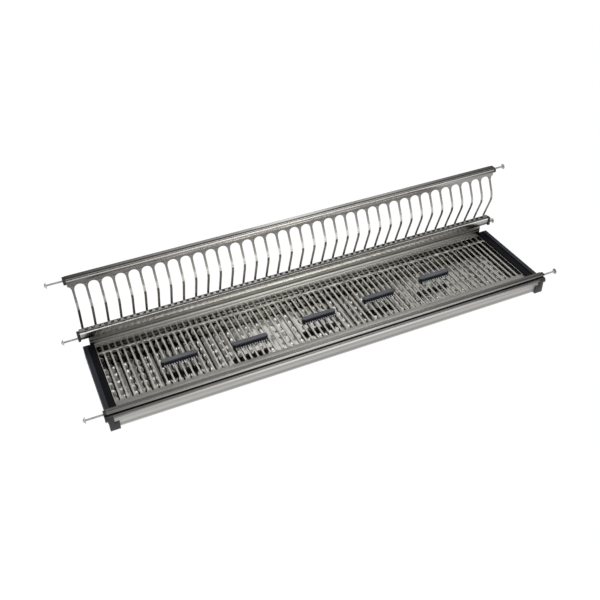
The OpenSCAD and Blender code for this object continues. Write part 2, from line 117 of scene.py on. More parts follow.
class NodeSheet:
    """Short-hand for the nodes and links of one shader tree."""

    def __init__(self, tree: Tree) -> None:
        """Takes a tree and empties it."""
        self.tree = tree
        tree.nodes.clear()

    def add(self, kind: str, **values: object) -> bpy.types.Node:
        """Adds a node.

        Args:
            kind: The node's type name without its ShaderNode prefix, or in full.
            values: Properties of the node, or values of its inputs by name.

        Returns:
            The new node.
        """
        full = kind if kind.startswith("Node") else "ShaderNode" + kind
        node = self.tree.nodes.new(full)
        for key, value in values.items():
            if hasattr(node, key):
                setattr(node, key, value)
            else:
                node.inputs[key.replace("_", " ")].default_value = value
        return node

    def link(self, source: Socket, target: Socket) -> None:
        """Joins an output to an input."""
        self.tree.links.new(source, target)

    def math(self, operation: str, first: object, second: object = 0.0) -> Socket:
        """Adds a Math node.

        Args:
            operation: The operation's name.
            first: A socket or a number.
            second: A socket or a number.

        Returns:
            The node's output.
        """
        node = self.tree.nodes.new("ShaderNodeMath")
        node.operation = operation
        for slot, value in zip(node.inputs, (first, second)):
            if isinstance(value, (int, float)):
                slot.default_value = value
            else:
                self.link(value, slot)
        return node.outputs[0]


def shader_group(name: str, outputs: Sequence[str], inputs: Dict[str, float],
                 build: Callable[[NodeSheet, bpy.types.Node, bpy.types.Node], None]) -> Tree:
    """Makes a shader node group once.

    Args:
        name: The group's name.
        outputs: Names of its float outputs.
        inputs: Names and defaults of its float inputs.
        build: Fills the group between its input and output nodes.

    Returns:
        The group's tree.
    """
    if name in bpy.data.node_groups:
        return bpy.data.node_groups[name]
    tree = bpy.data.node_groups.new(name, "ShaderNodeTree")
    for key, value in inputs.items():
        socket = tree.interface.new_socket(key, in_out="INPUT", socket_type="NodeSocketFloat")
        socket.default_value = value
    for key in outputs:
        tree.interface.new_socket(key, in_out="OUTPUT", socket_type="NodeSocketFloat")
    sheet = NodeSheet(tree)
    entry = sheet.add("NodeGroupInput")
    exit_node = sheet.add("NodeGroupOutput")
    build(sheet, entry, exit_node)
    return tree


def brushing_group(grain: Grain) -> Tree:
    """Fine brush lines along one axis.

    Args:
        grain: Direction of the lines.

    Returns:
        A group with the outputs Shade and Height.
    """
    def build(sheet: NodeSheet, entry: bpy.types.Node, exit_node: bpy.types.Node) -> None:
        """Stretches noise along the grain, fine over coarse."""
        coords = sheet.add("TexCoord")
        stretch = sheet.add("Mapping")
        long, short = 3.0, 1.0 / MM
        scales = {Grain.ALONG_RAIL: (long, short, short), Grain.UPRIGHT: (short, short, long)}
        stretch.inputs["Scale"].default_value = scales[grain]
        sheet.link(coords.outputs["Object"], stretch.inputs["Vector"])
        fine = sheet.add("TexNoise", Scale=1.6, Detail=3.0, Roughness=0.6)
        sheet.link(stretch.outputs[0], fine.inputs["Vector"])
        coarse = sheet.add("TexNoise", Scale=0.35, Detail=2.0, Roughness=0.5)
        sheet.link(stretch.outputs[0], coarse.inputs["Vector"])
        fine_part = 0.6
        mixed = sheet.math("ADD", sheet.math("MULTIPLY", fine.outputs["Fac"], fine_part),
                           sheet.math("MULTIPLY", coarse.outputs["Fac"], 1.0 - fine_part))
        centred = sheet.math("SUBTRACT", mixed, NOISE_MIDDLE)
        shade = sheet.math("MULTIPLY", centred, entry.outputs["Depth"])
        sheet.link(sheet.math("ADD", shade, NOISE_MIDDLE), exit_node.inputs["Shade"])
        sheet.link(mixed, exit_node.inputs["Height"])

    return shader_group("brush_lines_" + grain.value, ("Shade", "Height"), {"Depth": 1.0}, build)


def smudge_group() -> Tree:
    """Broad, faint change of polish, as handling and rolling leave it.

    Returns:
        A group with the output Polish.
    """
    def build(sheet: NodeSheet, entry: bpy.types.Node, exit_node: bpy.types.Node) -> None:
        """Adds two soft noises of different size."""
        coords = sheet.add("TexCoord")
        wide = sheet.add("TexNoise", Scale=9.0, Detail=2.0, Roughness=0.45)
        small = sheet.add("TexNoise", Scale=70.0, Detail=3.0, Roughness=0.6)
        for noise in (wide, small):
            sheet.link(coords.outputs["Object"], noise.inputs["Vector"])
        wide_part = 0.65
        mixed = sheet.math("ADD", sheet.math("MULTIPLY", wide.outputs["Fac"], wide_part),
                           sheet.math("MULTIPLY", small.outputs["Fac"], 1.0 - wide_part))
        centred = sheet.math("SUBTRACT", mixed, NOISE_MIDDLE)
        spread = sheet.math("MULTIPLY", centred, entry.outputs["Spread"])
        sheet.link(sheet.math("ADD", spread, NOISE_MIDDLE), exit_node.inputs["Polish"])

    return shader_group("smudges", ("Polish",), {"Spread": 1.0}, build)


def moulding_group() -> Tree:
    """Fine spark-eroded grain of moulded plastic.

    Returns:
        A group with the outputs Grain and Fade.
    """
    def build(sheet: NodeSheet, entry: bpy.types.Node, exit_node: bpy.types.Node) -> None:
        """Takes a fine noise for the grain and a wide one for the fading."""
        coords = sheet.add("TexCoord")
        fine = sheet.add("TexNoise", Detail=3.0, Roughness=0.7)
        sheet.link(entry.outputs["Size"], fine.inputs["Scale"])
        wide = sheet.add("TexNoise", Scale=26.0, Detail=2.0, Roughness=0.5)
        for noise in (fine, wide):
            sheet.link(coords.outputs["Object"], noise.inputs["Vector"])
        sheet.link(fine.outputs["Fac"], exit_node.inputs["Grain"])
        sheet.link(wide.outputs["Fac"], exit_node.inputs["Fade"])

    return shader_group("moulded_grain", ("Grain", "Fade"), {"Size": 1500.0}, build)


def place_group(sheet: NodeSheet, tree: Tree, **values: float) -> bpy.types.Node:
    """Puts a group into a material.

    Args:
        sheet: The material's tree.
        tree: The group.
        values: Values of its inputs by name.

    Returns:
        The group node.
    """
    node = sheet.add("Group")
    node.node_tree = tree
    for key, value in values.items():
        node.inputs[key].default_value = value
    return node


def two_tone(sheet: NodeSheet, factor: Socket, dark: Colour, light: Colour) -> Socket:
    """Mixes two colours by a factor.

    Args:
        sheet: The material's tree.
        factor: Where the light colour shows.
        dark: Colour at 0.
        light: Colour at 1.

    Returns:
        The mixed colour's output.
    """
    ramp = sheet.add("ValToRGB")
    for mark, place, colour in zip(ramp.color_ramp.elements, TONE_SPAN, (dark, light)):
        mark.position = place
        mark.color = (*colour, 1.0)
    sheet.link(factor, ramp.inputs[0])
    return ramp.outputs[0]


def ranged(sheet: NodeSheet, factor: Socket, low: float, high: float) -> Socket:
    """Maps a noise onto a range.

    Args:
        sheet: The material's tree.
        factor: The noise.
        low: Output at the low end of the noise's span.
        high: Output at its high end.

    Returns:
        The mapped output.
    """
    node = sheet.add("MapRange")
    node.inputs["From Min"].default_value, node.inputs["From Max"].default_value = NOISE_SPAN
    node.inputs["To Min"].default_value = low
    node.inputs["To Max"].default_value = high
    sheet.link(factor, node.inputs["Value"])
    return node.outputs[0]


@dataclass(frozen=True)
class Shading:
    """Bands of base colour painted along a profile, after the reflections in the photograph.

    They are not reflections, and they are laid out for the photograph's view: a place on the
    section is measured along the camera's up direction. Each stop is a distance below the
    start, in millimetres, with its level.

    Attributes:
        stops: Levels at the profile's middle.
        ends: Change of the levels at the profile's ends.
        start: Place of the first stop, in metres.
        depth_part: Y part of the camera's up direction, or of another one.
        height_part: Z part of it.
        strongest: Highest level.
        half_length: Distance from the middle to an end.
    """

    stops: Stops
    ends: Stops
    start: float = 0.0
    depth_part: float = 0.556
    height_part: float = 0.786
    strongest: float = 3.0
    half_length: float = 400 * MM

    def placed(self, depth: float, height: float) -> "Shading":
        """The same bands, started at a corner of a profile.

        Args:
            depth: The corner's Y.
            height: The corner's Z.

        Returns:
            The placed bands.
        """
        return replace(self, start=self.depth_part * depth + self.height_part * height)

    def levels(self, sheet: NodeSheet, place: Socket, stops: Stops) -> Socket:
        """Level at a place on the section.

        Args:
            sheet: The material's tree.
            place: The point's place along the section.
            stops: Distances below the start in millimetres, with their levels.

        Returns:
            The level.
        """
        far = stops[-1][0] * MM
        ramp = sheet.add("ValToRGB")
        marks = ramp.color_ramp.elements
        for distance, _ in stops[1:-1]:
            marks.new(distance * MM / far)
        for mark, (distance, level) in zip(marks, stops):
            mark.position = distance * MM / far
            mark.color = (level / self.strongest,) * 3 + (1.0,)
        below = sheet.math("SUBTRACT", self.start, place)
        sheet.link(sheet.math("DIVIDE", below, far), ramp.inputs[0])
        return sheet.math("MULTIPLY", ramp.outputs[0], self.strongest)

    def factor(self, sheet: NodeSheet) -> Socket:
        """Works out the bands.

        Args:
            sheet: The material's tree.

        Returns:
            A factor for the base colour.
        """
        coords = sheet.add("TexCoord")
        parts = sheet.add("SeparateXYZ")
        sheet.link(coords.outputs["Object"], parts.inputs[0])
        place = sheet.math("ADD", sheet.math("MULTIPLY", parts.outputs["Y"], self.depth_part),
                           sheet.math("MULTIPLY", parts.outputs["Z"], self.height_part))
        reach = sheet.math("DIVIDE", parts.outputs["X"], self.half_length)
        share = sheet.math("MULTIPLY", reach, reach)
        at_ends = sheet.math("SUBTRACT", self.levels(sheet, place, self.ends), 1.0)
        change = sheet.math("ADD", sheet.math("MULTIPLY", at_ends, share), 1.0)
        return sheet.math("MULTIPLY", self.levels(sheet, place, self.stops), change)


@dataclass(frozen=True)
class SteelFinish:
    """Stainless steel with brush lines and faint smudges."""

    name: str
    dark: Colour
    light: Colour
    grain: Grain
    rough: Tuple[float, float]
    bump: float = 0.10
    shading: Optional[Shading] = None
    line_depth: float = 1.6
    line_rough: float = 0.05
    line_height: float = 0.05 * MM
    smudge_spread: float = 1.4

    def material(self) -> bpy.types.Material:
        """Builds the material, or returns the one built before."""
        if self.name in bpy.data.materials:
            return bpy.data.materials[self.name]
        made = bpy.data.materials.new(self.name)
        made.use_nodes = True
        sheet = NodeSheet(made.node_tree)
        lines = place_group(sheet, brushing_group(self.grain), Depth=self.line_depth)
        polish = place_group(sheet, smudge_group(), Spread=self.smudge_spread)
        shader = sheet.add("BsdfPrincipled", Metallic=1.0)
        colour = two_tone(sheet, lines.outputs["Shade"], self.dark, self.light)
        if self.shading:
            scaled = sheet.add("VectorMath", operation="SCALE")
            sheet.link(colour, scaled.inputs[0])
            sheet.link(self.shading.factor(sheet), scaled.inputs["Scale"])
            colour = scaled.outputs[0]
        sheet.link(colour, shader.inputs["Base Color"])
        rough = sheet.math("ADD", ranged(sheet, polish.outputs["Polish"], *self.rough),
                           sheet.math("MULTIPLY", lines.outputs["Height"], self.line_rough))
        sheet.link(rough, shader.inputs["Roughness"])
        bump = sheet.add("Bump", Strength=self.bump, Distance=self.line_height)
        sheet.link(lines.outputs["Height"], bump.inputs["Height"])
        sheet.link(bump.outputs[0], shader.inputs["Normal"])
        out = sheet.add("OutputMaterial")
        sheet.link(shader.outputs[0], out.inputs["Surface"])
        return made


@dataclass(frozen=True)
class PlasticFinish:
    """Moulded plastic with a fine grain."""

    name: str
    dark: Colour
    light: Colour
    rough: Tuple[float, float]
    bump: float = 0.12
    gloss: float = 0.5
    grain_size: float = 1500.0
    grain_height: float = 0.08 * MM

    def material(self) -> bpy.types.Material:
        """Builds the material, or returns the one built before."""
        if self.name in bpy.data.materials:
            return bpy.data.materials[self.name]
        made = bpy.data.materials.new(self.name)
        made.use_nodes = True
        sheet = NodeSheet(made.node_tree)
        moulded = place_group(sheet, moulding_group(), Size=self.grain_size)
        shader = sheet.add("BsdfPrincipled", Metallic=0.0)
        shader.inputs["Specular IOR Level"].default_value = self.gloss
        sheet.link(two_tone(sheet, moulded.outputs["Fade"], self.dark, self.light),
                   shader.inputs["Base Color"])
        sheet.link(ranged(sheet, moulded.outputs["Fade"], *self.rough), shader.inputs["Roughness"])
        bump = sheet.add("Bump", Strength=self.bump, Distance=self.grain_height)
        sheet.link(moulded.outputs["Grain"], bump.inputs["Height"])
        sheet.link(bump.outputs[0], shader.inputs["Normal"])
        out = sheet.add("OutputMaterial")
        sheet.link(shader.outputs[0], out.inputs["Surface"])
        return made


Finish = Union[SteelFinish, PlasticFinish]

SHEET_STEEL = SteelFinish("shelf_steel", (0.42, 0.41, 0.38), (0.60, 0.59, 0.55),
                          Grain.ALONG_RAIL, (0.26, 0.38))
# Underside, stop, step, front and tip tones go to faces by direction or place. They imitate
# the shade and the glints of the photograph.
UNDERSIDE_SHADE = SteelFinish("shelf_underside", (0.03, 0.03, 0.028), (0.07, 0.068, 0.062),
                        Grain.ALONG_RAIL, (0.40, 0.55))
STOP_SHADE = SteelFinish("rear_stop_steel", (0.11, 0.105, 0.095), (0.19, 0.18, 0.165),
                         Grain.ALONG_RAIL, (0.30, 0.45))
COMB_STEEL = SteelFinish("comb_steel", (0.21, 0.205, 0.195), (0.35, 0.34, 0.325),
                         Grain.ALONG_RAIL, (0.18, 0.30))
RAIL_STEEL = SteelFinish("rail_steel", (0.26, 0.255, 0.245), (0.44, 0.43, 0.415),
                         Grain.ALONG_RAIL, (0.16, 0.26))
FRONT_STEEL = SteelFinish("front_steel", (0.42, 0.415, 0.395), (0.56, 0.55, 0.53),
                          Grain.ALONG_RAIL, (0.28, 0.40))
TRAY_STEEL = SteelFinish("tray_steel", (0.58, 0.57, 0.53), (0.74, 0.73, 0.69),
                         Grain.ALONG_RAIL, (0.05, 0.10), bump=0.02)
ZINC = SteelFinish("zinc_plate", (0.36, 0.36, 0.35), (0.58, 0.58, 0.56),
                   Grain.UPRIGHT, (0.26, 0.40), bump=0.06)
BLACK = PlasticFinish("cap_plastic", (0.006, 0.006, 0.008), (0.016, 0.016, 0.020), (0.30, 0.46))
RUNNER_BLACK = PlasticFinish("runner_plastic", (0.010, 0.012, 0.018), (0.018, 0.022, 0.031),
                             (0.40, 0.55), gloss=0.25)
RUNNER_STEP_SHADE = PlasticFinish("runner_step", (0.002, 0.002, 0.003), (0.005, 0.005, 0.007),
                            (0.50, 0.65), gloss=0.10)
CLIP_BLUE = PlasticFinish("clip_shell", (0.076, 0.081, 0.093), (0.126, 0.134, 0.152),
                          (0.42, 0.58), gloss=0.30)
CLIP_FRONT_SHADE = PlasticFinish("clip_front", (0.004, 0.0043, 0.0048), (0.010, 0.0105, 0.0118),
                           (0.50, 0.62), gloss=0.18)
CLIP_TIP_GLINT = PlasticFinish("clip_tip", (0.62, 0.63, 0.64), (0.86, 0.87, 0.88), (0.26, 0.38))

# Levels set against brightness measured across each profile in the photograph.
RAIL_SHADING = {
    Rail.TOP: Shading(
        stops=((0.0, 2.0), (1.5, 2.6), (3.8, 2.6), (4.8, 0.35), (6.2, 0.4), (7.2, 1.0), (8.2, 2.2),
               (10.6, 2.6), (11.6, 1.9), (13.0, 1.9), (13.8, 2.4), (16.0, 2.4)),
        ends=((0.0, 0.3), (4.0, 0.3), (5.0, 0.8), (7.2, 0.7), (10.6, 0.6), (11.6, 0.25),
              (16.0, 0.2))),
    Rail.MIDDLE: Shading(
        stops=((0.0, 1.1), (1.8, 1.1), (2.6, 0.9), (6.8, 0.9), (8.0, 2.1), (10.8, 2.2), (12.4, 1.0),
               (13.0, 1.0)),
        ends=((0.0, 2.6), (1.8, 2.6), (2.6, 1.1), (6.8, 1.0), (8.2, 0.2), (13.0, 0.2))),
    Rail.FRONT: Shading(
        stops=((0.0, 1.2), (0.8, 1.5), (2.4, 1.1), (3.6, 0.64), (4.6, 0.6), (5.4, 1.4), (7.6, 1.5),
               (8.4, 0.7), (10.0, 0.6)),
        ends=((0.0, 0.8), (4.6, 0.8), (5.2, 0.4), (10.0, 0.3))),
}
TRAY_SHADING = Shading(
    stops=((0.0, 0.4), (2.6, 0.4), (3.6, 0.7), (4.6, 1.5), (6.2, 1.5), (7.0, 0.86), (8.4, 0.72),
           (10.4, 0.86), (11.2, 0.78), (12.0, 0.90), (14.6, 0.84), (15.8, 0.68), (17.2, 0.58),
           (19.0, 0.62), (20.0, 1.0), (21.0, 0.8)),
    ends=((0.0, 0.8), (3.6, 0.6), (4.6, 0.35), (6.2, 0.35), (7.0, 1.1), (21.0, 1.1)))
SHELF_SHADING = Shading(
    stops=((0.0, 1.05), (8.1, 1.05), (9.8, 0.68), (11.5, 0.32), (13.6, 0.34), (14.8, 1.8),
           (16.4, 1.7), (17.6, 0.7), (19.4, 0.8), (20.6, 2.3), (24.4, 2.2), (31.5, 2.1),
           (34.0, 1.5), (80.0, 1.3), (110.0, 1.25), (117.0, 1.5), (150.0, 1.7)),
    ends=((0.0, 0.6), (9.8, 0.55), (11.5, 0.9), (13.6, 0.9), (14.8, 0.1), (18.6, 0.4), (20.6, 0.95),
          (26.0, 0.85), (80.0, 0.95), (110.0, 0.95), (117.0, 0.44), (150.0, 0.44)))
COMB_SHADING = Shading(
    stops=((0.0, 1.1), (20.0, 1.15), (36.0, 1.8), (48.0, 2.9), (51.5, 0.55), (72.0, 0.6),
           (108.0, 0.6), (112.0, 0.38), (125.0, 0.38)),
    ends=((0.0, 0.9), (20.0, 0.8), (48.0, 0.45), (51.5, 0.9), (106.0, 0.9), (112.0, 0.35),
          (125.0, 0.35)),
    depth_part=0.0, height_part=1.0)
PAN_SHADING = Shading(
    stops=((0.0, 0.6), (12.0, 0.6), (24.0, 0.8), (35.0, 0.85), (60.0, 0.9), (80.0, 1.0),
           (200.0, 0.95)),
    ends=((0.0, 0.35), (35.0, 0.7), (80.0, 0.85), (200.0, 0.8)),
    depth_part=1.0, height_part=0.0)


def mesh_object(name: str, shape: Shape, finish: Finish,
                smooth_angle: float = 35.0) -> bpy.types.Object:
    """Turns a bmesh into a dressed object at the origin.

    Args:
        name: Name of the piece.
        shape: Its bmesh, which is freed.
        finish: The finish that dresses it.
        smooth_angle: Edges sharper than this many degrees stay sharp.

    Returns:
        The new object.
    """
    mesh = bpy.data.meshes.new(name)
    for face in shape.faces:
        face.smooth = True
    limit = math.radians(smooth_angle)
    for edge in shape.edges:
        if len(edge.link_faces) == 2:
            edge.smooth = edge.calc_face_angle(0.0) < limit
    shape.to_mesh(mesh)
    shape.free()
    made = bpy.data.objects.new(name, mesh)
    bpy.context.scene.collection.objects.link(made)
    mesh.materials.append(finish.material())
    return made


def merged_copy(node: bpy.types.Object) -> Shape:
    """Copies a solid's mesh with its corners joined and its flat faces whole.

    Args:
        node: The solid's object.

    Returns:
        The merged bmesh.
    """
    shape = bmesh.new()
    shape.from_mesh(node.data)
    bmesh.ops.remove_doubles(shape, verts=shape.verts, dist=WELD)
    bmesh.ops.dissolve_limit(shape, angle_limit=math.radians(FLAT_ANGLE), verts=shape.verts,
                             edges=shape.edges)
    return shape


def span_of(node: bpy.types.Object) -> Tuple[Vector, Vector]:
    """Lowest and highest corner of a solid's box.

    Args:
        node: The solid's object.

    Returns:
        Both corners.
    """
    points = [v.co for v in node.data.vertices]
    return (Vector([min(p[k] for p in points) for k in range(3)]),
            Vector([max(p[k] for p in points) for k in range(3)]))


def bevel(shape: Shape, edges: Sequence[bmesh.types.BMEdge], radius: float, segments: int) -> None:
    """Rounds some edges.

    Args:
        shape: The bmesh to change.
        edges: The edges to round.
        radius: Radius of the rounding in metres.
        segments: Steps of each rounding.
    """
    bmesh.ops.bevel(shape, geom=edges, offset=radius, offset_type="OFFSET", affect="EDGES",
                    segments=segments, profile=0.5, material=-1, clamp_overlap=True)


def rounded(shape: Shape, radius: float, segments: int = 2, corner: float = 40.0) -> None:
    """Rounds every edge sharper than a limit.

    Args:
        shape: The bmesh to change.
        radius: Radius of the rounding in metres.
        segments: Steps of each rounding.
        corner: Least angle of an edge that is rounded, in degrees.
    """
    limit = math.radians(corner)
    edges = [e for e in shape.edges if len(e.link_faces) == 2 and e.calc_face_angle(0.0) > limit]
    bevel(shape, edges, radius, segments)


@dataclass
class Assembly:
    """Common ground of the rack's sub-assemblies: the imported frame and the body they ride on."""

    frame: dict
    body: str = "rack"

    def node(self, name: str) -> bpy.types.Object:
        """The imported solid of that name."""
        return self.frame["nodes"][name]

    def take(self, piece: bpy.types.Object, slot: str, *nodes: str,
             body: Optional[str] = None) -> None:
        """Rides a piece on its body and lets it stand for its solids.

        Args:
            piece: The new piece.
            slot: The record's material slot. It is not used.
            nodes: The solids that it replaces.
            body: The body, where it isn't the assembly's own.
        """
        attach(piece, body or self.body)
        if nodes:
            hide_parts(*nodes)
        log.info("%s: %d faces", piece.name, len(piece.data.polygons))

    def dress(self, name: str, finish: Finish) -> None:
        """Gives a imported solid, which stays, its finish.

        Args:
            name: The solid's name.
            finish: Its finish.
        """
        node = self.node(name)
        for slot in node.material_slots:
            slot.material = finish.material()
        if not node.material_slots:
            node.data.materials.append(finish.material())

    def soften(self, name: str, finish: Finish, slot: str, radius: float, segments: int = 2,
               body: Optional[str] = None) -> bpy.types.Object:
        """Replaces a solid by its own shape with rounded edges.

        Args:
            name: The solid's name.
            finish: The finish of the new piece.
            slot: The record's material slot.
            radius: Radius of the edges in metres.
            segments: Steps of each rounding.
            body: The body, where it isn't the assembly's own.

        Returns:
            The new piece.
        """
        shape = merged_copy(self.node(name))
        rounded(shape, radius, segments)
        piece = mesh_object(name + "_shape", shape, finish)
        self.take(piece, slot, name, body=body)
        return piece


@dataclass
class Rails(Assembly):
    """The three rails and their end caps."""

    edge: float = 0.25 * MM
    cap_edge: float = 0.7 * MM

    def finish(self, rail: Rail) -> SteelFinish:
        """The rail's steel, with highlight and shade bands painted from its upper corner to its lower
        front one.

        Args:
            rail: Which rail.

        Returns:
            Its finish.
        """
        low, high = span_of(self.node(rail.value + "_rail"))
        depth = low.y if rail is Rail.MIDDLE else high.y
        shading = RAIL_SHADING[rail].placed(depth, high.z)
        return replace(RAIL_STEEL, name="rail_steel_" + rail.value, shading=shading)

    def build(self) -> None:
        """Rounds the rails' edges and their caps'."""
        for rail in Rail:
            self.soften(rail.value + "_rail", self.finish(rail), "rail_steel", self.edge)
            for end in End:
                self.soften("%s_cap_%s" % (rail.value, end.label), BLACK, "black_plastic",
                            self.cap_edge, CAP_STEPS)


@dataclass
class PlateComb(Assembly):
    """The bent sheet whose fingers hold the plates."""

    def build(self) -> None:
        """Dresses the comb, with painted shade at its foot and a painted highlight at its bend."""
        corner = span_of(self.node("plate_comb"))[1]
        shading = COMB_SHADING.placed(corner.y, corner.z)
        self.dress("plate_comb", replace(COMB_STEEL, shading=shading))


@dataclass
class GlassShelf(Assembly):
    """The slotted shelf and the runners at its ends."""

    edge: float = 0.3 * MM
    runner_edge: float = 0.6 * MM
    step_drop: float = 4 * runner_edge
    underside_shade_tilt: float = -0.5
    stop_drop: float = 0.9 * MM
    stop_reach: float = 2.0 * MM
    stop_high: float = 6.4 * MM

    def sheet(self) -> None:
        """Rounds the shelf's edges, lets its rear stop down, paints highlight and shade bands over it
        and paints shade on its underside and stop.
        """
        shape = merged_copy(self.node("glass_shelf"))
        lowest = min(v.co.z for v in shape.verts if v.co.y > 0)
        foot = [v for v in shape.verts if v.co.y > 0 and v.co.z < lowest + NEAR]
        bmesh.ops.translate(shape, verts=foot, vec=(0, 0, -self.stop_drop))
        rounded(shape, self.edge)
        corner = span_of(self.node("glass_shelf"))[1]
        finish = replace(SHEET_STEEL, shading=SHELF_SHADING.placed(corner.y, corner.z))
        piece = mesh_object("glass_shelf_sheet", shape, finish)
        piece.data.materials.append(UNDERSIDE_SHADE.material())
        piece.data.materials.append(STOP_SHADE.material())
        stop_y, stop_z = corner.y - self.stop_reach, lowest + self.stop_high
        # Faces turned down get a painted shade, and the faces of the rear stop a lighter painted shade.
        for face in piece.data.polygons:
            if face.normal.z < self.underside_shade_tilt:
                face.material_index = 1
            elif face.center.y > stop_y and face.center.z < stop_z:
                face.material_index = 2
        self.take(piece, "sheet_steel", "glass_shelf")

    def build(self) -> None:
        """Builds the shelf and rounds its runners."""
        self.sheet()
        for end in End:
            name = "side_runner_" + end.label
            low, high = span_of(self.node(name))
            step = abs(low.x + high.x) / 2 - self.runner_edge
            piece = self.soften(name, RUNNER_BLACK, "black_plastic", self.runner_edge, CAP_STEPS)
            piece.data.materials.append(RUNNER_STEP_SHADE.material())
            # The runner's inner half and its faces below the top get a painted shade.
            for face in piece.data.polygons:
                if abs(face.center.x) < step or face.center.z < high.z - self.step_drop:
                    face.material_index = 1


@dataclass
class DripTray(Assembly):
    """The tray that pulls out under the shelf."""

    body: str = "tray"
    cap_edge: float = 1.0 * MM
    front_edge: float = 0.25 * MM
    strip_edge: float = 0.3 * MM
    wall_edge: float = 0.2 * MM
    floor_smooth: float = 60.0
    sheet: float = 0.8 * MM
    cell: float = 2.4 * MM
    dimple_pitch: float = 19.3 * MM
    dimple_radius: float = 6.0 * MM
    dimple_depth: float = 0.7 * MM
    plain_rim: float = 4.0 * MM

    def emboss(self, x: float, y: float, low: Vector, high: Vector) -> float:
        """Height of the embossing.

        Args:
            x: Place along the rails.
            y: Place along the depth.
            low: The pan's lowest corner.
            high: The pan's highest corner.

        Returns:
            Height over the flat floor in metres, nothing at the pan's edges.
        """
        edge = min(x - low.x, high.x - x, y - low.y, high.y - y)
        # Flat up to half a rim from the edge, full from one and a half rims on.
        fade = min(1.0, max(0.0, edge / self.plain_rim - 0.5))
        away_x = x - self.dimple_pitch * round(x / self.dimple_pitch)
        away_y = y - self.dimple_pitch * round(y / self.dimple_pitch)
        reach = min(1.0, math.hypot(away_x, away_y) / self.dimple_radius)
        return fade * self.dimple_depth * (0.5 + 0.5 * math.cos(math.pi * reach))

    def floor_sheet(self, shape: Shape, low: Vector, high: Vector) -> None:
        """Adds the embossed floor as one closed sheet.

        Args:
            shape: Where the sheet goes.
            low: Lowest corner of the floor's span.
            high: Highest corner of the floor's span.
        """
        nx = round((high.x - low.x) / self.cell)
        ny = round((high.y - low.y) / self.cell)
        layers = []
        for drop in (0.0, self.sheet):
            rows = []
            for j in range(ny + 1):
                y = low.y + (high.y - low.y) * j / ny
                xs = [low.x + (high.x - low.x) * i / nx for i in range(nx + 1)]
                heights = [low.z + self.sheet - drop + self.emboss(x, y, low, high) for x in xs]
                rows.append([shape.verts.new((x, y, z)) for x, z in zip(xs, heights)])
            layers.append(rows)
        top, under = layers
        for j in range(ny):
            for i in range(nx):
                shape.faces.new((top[j][i], top[j][i + 1], top[j + 1][i + 1], top[j + 1][i]))
                shape.faces.new((under[j][i], under[j + 1][i], under[j + 1][i + 1],
                                 under[j][i + 1]))
        for i in range(nx):
            shape.faces.new((top[0][i], under[0][i], under[0][i + 1], top[0][i + 1]))
            shape.faces.new((top[ny][i + 1], under[ny][i + 1], under[ny][i], top[ny][i]))
        for j in range(ny):
            shape.faces.new((top[j + 1][0], under[j + 1][0], under[j][0], top[j][0]))
            shape.faces.new((top[j][nx], under[j][nx], under[j + 1][nx], top[j + 1][nx]))

    def pan(self) -> None:
        """Replaces the pan by an embossed floor and rounds the wall behind it."""
        shape = bmesh.new()
        low, high = span_of(self.node("tray_pan"))
        self.floor_sheet(shape, low, high)
        # The pan and its rear wall carry painted shade, darker towards the rear and towards the ends.
        finish = replace(TRAY_STEEL, shading=PAN_SHADING.placed(high.y, high.z))
        piece = mesh_object("tray_pan_embossed", shape, finish, self.floor_smooth)
        self.take(piece, "embossed_steel", "tray_pan")
        rear = replace(finish, name="tray_rear_steel")
        self.soften("tray_rear", rear, "embossed_steel", self.wall_edge)

    def build(self) -> None:
        """Dresses the pan, its front and its black ends."""
        self.pan()
        low, high = span_of(self.node("tray_front"))
        # The tray's front carries painted highlight and shade bands.
        shading = TRAY_SHADING.placed((low.y + high.y) / 2, high.z)
        finish = replace(FRONT_STEEL, shading=shading)
        self.soften("tray_front", finish, "satin_steel", self.front_edge)
        for end in End:
            self.soften("tray_cap_" + end.label, BLACK, "black_plastic", self.cap_edge, CAP_STEPS)
            self.soften("tray_strip_" + end.label, BLACK, "black_plastic", self.strip_edge)


